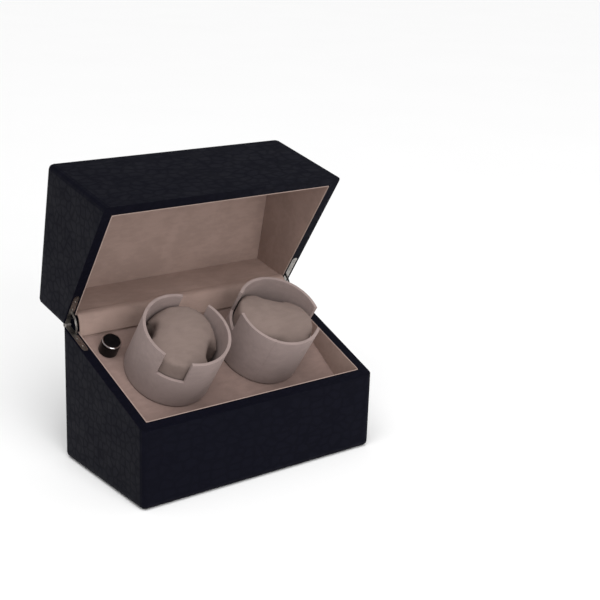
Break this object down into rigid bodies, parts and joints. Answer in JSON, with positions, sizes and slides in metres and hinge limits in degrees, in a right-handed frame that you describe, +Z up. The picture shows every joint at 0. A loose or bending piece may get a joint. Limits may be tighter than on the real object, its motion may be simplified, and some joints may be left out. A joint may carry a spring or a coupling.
{
  "type": "watch winder box",
  "caption": "Leather-covered box with a slanted lid on side hinges; its sloping suede deck carries two turning cups with lift-out cushions and a rotary knob.",
  "frame": {"origin": "middle of the underside, on the surface that the box stands on", "axes": "+Z up, front towards -Y, +X to the right seen from the front"},
  "size_m": [0.275, 0.2015, 0.2954],
  "materials": {
    "navy_leather": "very dark navy, embossed wavy grain, satin",
    "case_wood": "raw fibreboard",
    "suede": "beige suede, matte",
    "cup_suede": "beige suede over a card tube, matte",
    "cushion_suede": "pale beige suede, matte",
    "felt": "black felt",
    "nickel": "nickel plated",
    "steel": "plain steel",
    "brass": "turned brass",
    "chrome": "bright",
    "knob_black": "gloss",
    "white_plastic": "satin",
    "black_plastic": "satin",
    "rubber": "matte",
    "board": "circuit board green"
  },
  "bodies": {
    "base": {"base_case": "case_wood", "bottom_panel": "case_wood", "batten_left": "case_wood", "batten_right": "case_wood", "base_leather": "navy_leather", "base_felt": "felt", "base_lining": "suede", "deck_panel": "suede", "hinge_cloth": "suede", "bush_left": "brass", "bush_right": "brass", "gear_motor_left": "steel", "gear_motor_right": "steel", "motor_bracket_left": "steel", "motor_bracket_right": "steel", "hinge_pin_left": "steel", "hinge_pin_right": "steel", "drive_belt_left": "rubber", "drive_belt_right": "rubber", "motor_lead_left": "rubber", "motor_lead_right": "rubber", "inlet_lead": "rubber", "switch_lead": "rubber", "switch_body": "black_plastic", "power_inlet": "black_plastic", "control_board": "board", "switch_nut": "nickel", "hinge_base_leaf_left": "nickel", "hinge_base_leaf_left_screw_1": "nickel", "hinge_base_leaf_left_screw_2": "nickel", "hinge_base_leaf_right": "nickel", "hinge_base_leaf_right_screw_1": "nickel", "hinge_base_leaf_right_screw_2": "nickel"},
    "lid": {"lid_case": "case_wood", "lid_leather": "navy_leather", "lid_lining_top": "suede", "lid_lining_walls": "suede", "hinge_lid_leaf_left": "nickel", "hinge_lid_leaf_right": "nickel", "hinge_lid_leaf_left_screw_1": "nickel", "hinge_lid_leaf_left_screw_2": "nickel", "hinge_lid_leaf_right_screw_1": "nickel", "hinge_lid_leaf_right_screw_2": "nickel"},
    "cup_left": {"cup_sleeve_left": "cup_suede", "cup_floor_left": "white_plastic", "spindle_left": "steel", "driven_pulley_left": "white_plastic"},
    "cushion_left": {"cushion_left": "cushion_suede"},
    "motor_left": {"motor_pulley_left": "brass"},
    "stay_left": {"hinge_stay_left": "nickel"},
    "cup_right": {"cup_sleeve_right": "cup_suede", "cup_floor_right": "white_plastic", "spindle_right": "steel", "driven_pulley_right": "white_plastic"},
    "cushion_right": {"cushion_right": "cushion_suede"},
    "motor_right": {"motor_pulley_right": "brass"},
    "stay_right": {"hinge_stay_right": "nickel"},
    "knob": {"mode_knob": "knob_black", "knob_ring": "chrome", "switch_shaft": "steel"}
  },
  "joints": [
    {"name": "lid_hinge", "type": "hinge", "parent": "base", "child": "lid", "pos_m": [0, 0.075, 0.139], "axis": [-1, 0, 0], "range_deg": [-79, 0], "deforming": ["hinge_cloth"]},
    {"name": "stay_slide_left", "type": "hinge", "parent": "base", "child": "stay_left", "pos_m": [0, 0.075, 0.139], "axis": [-1, 0, 0], "range_deg": [-39.5, 0]},
    {"name": "stay_slide_right", "type": "hinge", "parent": "base", "child": "stay_right", "pos_m": [0, 0.075, 0.139], "axis": [-1, 0, 0], "range_deg": [-39.5, 0]},
    {"name": "cup_spin_left", "type": "hinge", "parent": "base", "child": "cup_left", "pos_m": [-0.0555, 0.01442, 0.09435], "axis": [0, -0.5592, 0.8291], "continuous": true},
    {"name": "motor_spin_left", "type": "hinge", "parent": "base", "child": "motor_left", "pos_m": [-0.0215, 0.01442, 0.09435], "axis": [0, -0.5592, 0.8291], "continuous": true},
    {"name": "cushion_lift_left", "type": "slide", "parent": "cup_left", "child": "cushion_left", "axis": [0, -0.5592, 0.8291], "range_m": [0, 0.07]},
    {"name": "cup_spin_right", "type": "hinge", "parent": "base", "child": "cup_right", "pos_m": [0.0555, 0.01442, 0.09435], "axis": [0, -0.5592, 0.8291], "continuous": true},
    {"name": "motor_spin_right", "type": "hinge", "parent": "base", "child": "motor_right", "pos_m": [0.0215, 0.01442, 0.09435], "axis": [0, -0.5592, 0.8291], "continuous": true},
    {"name": "cushion_lift_right", "type": "slide", "parent": "cup_right", "child": "cushion_right", "axis": [0, -0.5592, 0.8291], "range_m": [0, 0.07]},
    {"name": "knob_turn", "type": "hinge", "parent": "base", "child": "knob", "pos_m": [-0.104, 0.04592, 0.1156], "axis": [0, -0.5592, 0.8291], "range_deg": [0, 270]}
  ],
  "couplings": [
    {"joint": "stay_slide_left", "follows": "lid_hinge", "ratio": 0.5},
    {"joint": "motor_spin_left", "follows": "cup_spin_left", "ratio": 3.5},
    {"joint": "stay_slide_right", "follows": "lid_hinge", "ratio": 0.5},
    {"joint": "motor_spin_right", "follows": "cup_spin_right", "ratio": 3.5}
  ]
}
